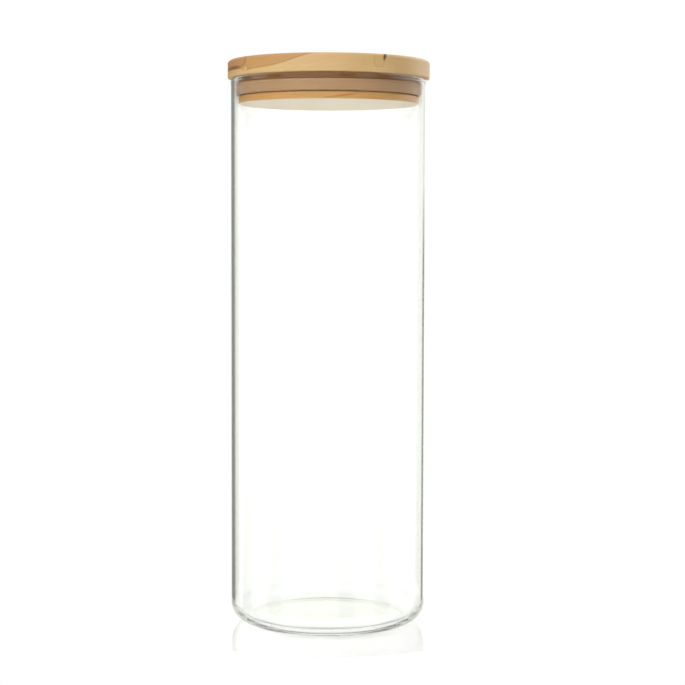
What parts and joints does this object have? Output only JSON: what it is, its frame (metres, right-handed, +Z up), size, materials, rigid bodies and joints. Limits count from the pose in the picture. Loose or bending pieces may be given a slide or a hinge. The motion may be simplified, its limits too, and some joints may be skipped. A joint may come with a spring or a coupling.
{
  "type": "lidded glass canister",
  "caption": "Tall straight cylindrical clear glass storage canister with an overhanging turned wooden lid, whose plug carries a translucent silicone seal ring.",
  "frame": {"origin": "middle of the jar's base, on the surface it stands on", "axes": "+Z up along the jar's axis; +Y is the side away from the usual front view, +X to the right"},
  "size_m": [0.103, 0.103, 0.2876],
  "materials": {
    "borosilicate_glass": "clear, fire-polished",
    "pine": "sanded, unvarnished, fine horizontal grain",
    "silicone": "translucent, milky, satin"
  },
  "bodies": {
    "jar": {"glass_jar": "borosilicate_glass"},
    "seal": {"seal_ring": "silicone"},
    "lid": {"wooden_lid": "pine"}
  },
  "joints": [
    {"name": "lid_lift", "type": "slide", "parent": "jar", "child": "seal", "axis": [0, 0, 1], "range_m": [0, 0.025]},
    {"name": "lid_turn", "type": "hinge", "parent": "seal", "child": "lid", "pos_m": [0, 0, 0.2726], "axis": [0, 0, 1], "continuous": true}
  ]
}
